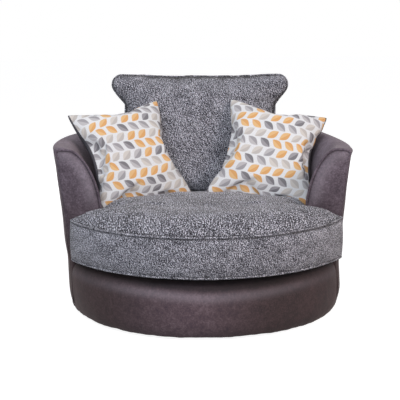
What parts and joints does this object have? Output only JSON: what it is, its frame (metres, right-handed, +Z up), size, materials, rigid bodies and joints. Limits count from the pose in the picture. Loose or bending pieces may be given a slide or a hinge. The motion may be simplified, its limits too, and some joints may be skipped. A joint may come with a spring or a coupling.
{
  "type": "swivel cuddle chair",
  "caption": "Round swivel cuddler armchair: padded drum on a ball-bearing turntable, wrap-round tub wall with flat arm fronts, crowned seat cushion, winged back cushion, scatter cushions.",
  "frame": {"origin": "on the floor under the swivel axis, at the centre of the chair's footprint", "axes": "+Z up, -Y the way the sitter faces, +X to the right as seen from the front"},
  "size_m": [1.2382, 1.198, 0.9482],
  "materials": {
    "plywood": "bare plywood, sanded",
    "black_plastic": "moulded polyethylene",
    "zinc_steel": "bright zinc plate",
    "spring_steel": "drawn spring wire, lightly oiled",
    "felt": "needled felt",
    "black_lining": "spunbond lining",
    "dark_suede": "brushed faux suede, mottled",
    "grey_chenille": "salt-and-pepper chenille weave",
    "printed_cotton": null
  },
  "bodies": {
    "base": {"base_board": "plywood", "swivel_lower_plate": "zinc_steel", "king_bolt": "zinc_steel", "king_nut": "zinc_steel", "floor_glide_1": "black_plastic", "floor_glide_2": "black_plastic", "floor_glide_3": "black_plastic", "floor_glide_4": "black_plastic", "floor_glide_5": "black_plastic", "floor_glide_6": "black_plastic", "lower_plate_bolt_1": "zinc_steel", "lower_plate_bolt_2": "zinc_steel", "lower_plate_bolt_3": "zinc_steel", "lower_plate_bolt_4": "zinc_steel"},
    "ball_cage": {"swivel_ball_cage": "zinc_steel"},
    "chair": {"frame_board": "plywood", "seat_ring": "plywood", "arm_board_left": "plywood", "arm_board_right": "plywood", "top_rail": "plywood", "front_hoop_board": "plywood", "front_post_1": "plywood", "front_post_2": "plywood", "front_post_3": "plywood", "front_post_4": "plywood", "wall_rib_1": "plywood", "wall_rib_2": "plywood", "wall_rib_3": "plywood", "wall_rib_4": "plywood", "wall_rib_5": "plywood", "wall_rib_6": "plywood", "wall_rib_7": "plywood", "swivel_upper_plate": "zinc_steel", "upper_plate_bolt_1": "zinc_steel", "upper_plate_bolt_2": "zinc_steel", "upper_plate_bolt_3": "zinc_steel", "upper_plate_bolt_4": "zinc_steel", "seat_spring_1": "spring_steel", "seat_spring_2": "spring_steel", "seat_spring_3": "spring_steel", "seat_spring_4": "spring_steel", "seat_spring_5": "spring_steel", "seat_spring_6": "spring_steel", "deck_pad": "felt", "platform_cloth": "black_lining", "dust_cover": "black_lining", "front_border": "dark_suede", "outer_cover": "dark_suede", "inner_wall_pad": "dark_suede", "arm_facing_left": "dark_suede", "arm_facing_right": "dark_suede", "arm_piping_left": "dark_suede", "arm_piping_right": "dark_suede"},
    "seat": {"seat_cushion": "grey_chenille", "seat_piping_upper": "grey_chenille", "seat_piping_lower": "grey_chenille"},
    "back": {"back_cushion": "grey_chenille"},
    "scatter_left": {"scatter_cushion_left": "printed_cotton"},
    "scatter_right": {"scatter_cushion_right": "printed_cotton"}
  },
  "joints": [
    {"name": "swivel", "type": "hinge", "parent": "base", "child": "chair", "pos_m": [0, 0, 0.038], "axis": [0, 0, 1], "continuous": true},
    {"name": "ball_cage_roll", "type": "hinge", "parent": "base", "child": "ball_cage", "pos_m": [0, 0, 0.038], "axis": [0, 0, 1], "continuous": true},
    {"name": "seat_cushion_lift", "type": "slide", "parent": "chair", "child": "seat", "axis": [0, 0, 1], "range_m": [0, 0.6]},
    {"name": "back_cushion_lift", "type": "slide", "parent": "seat", "child": "back", "axis": [0, 0, 1], "range_m": [0, 0.5]},
    {"name": "scatter_left_lift", "type": "slide", "parent": "back", "child": "scatter_left", "axis": [0, 0, 1], "range_m": [0, 0.55]},
    {"name": "scatter_right_lift", "type": "slide", "parent": "back", "child": "scatter_right", "axis": [0, 0, 1], "range_m": [0, 0.55]}
  ],
  "couplings": [
    {"joint": "ball_cage_roll", "follows": "swivel", "ratio": 0.5}
  ]
}
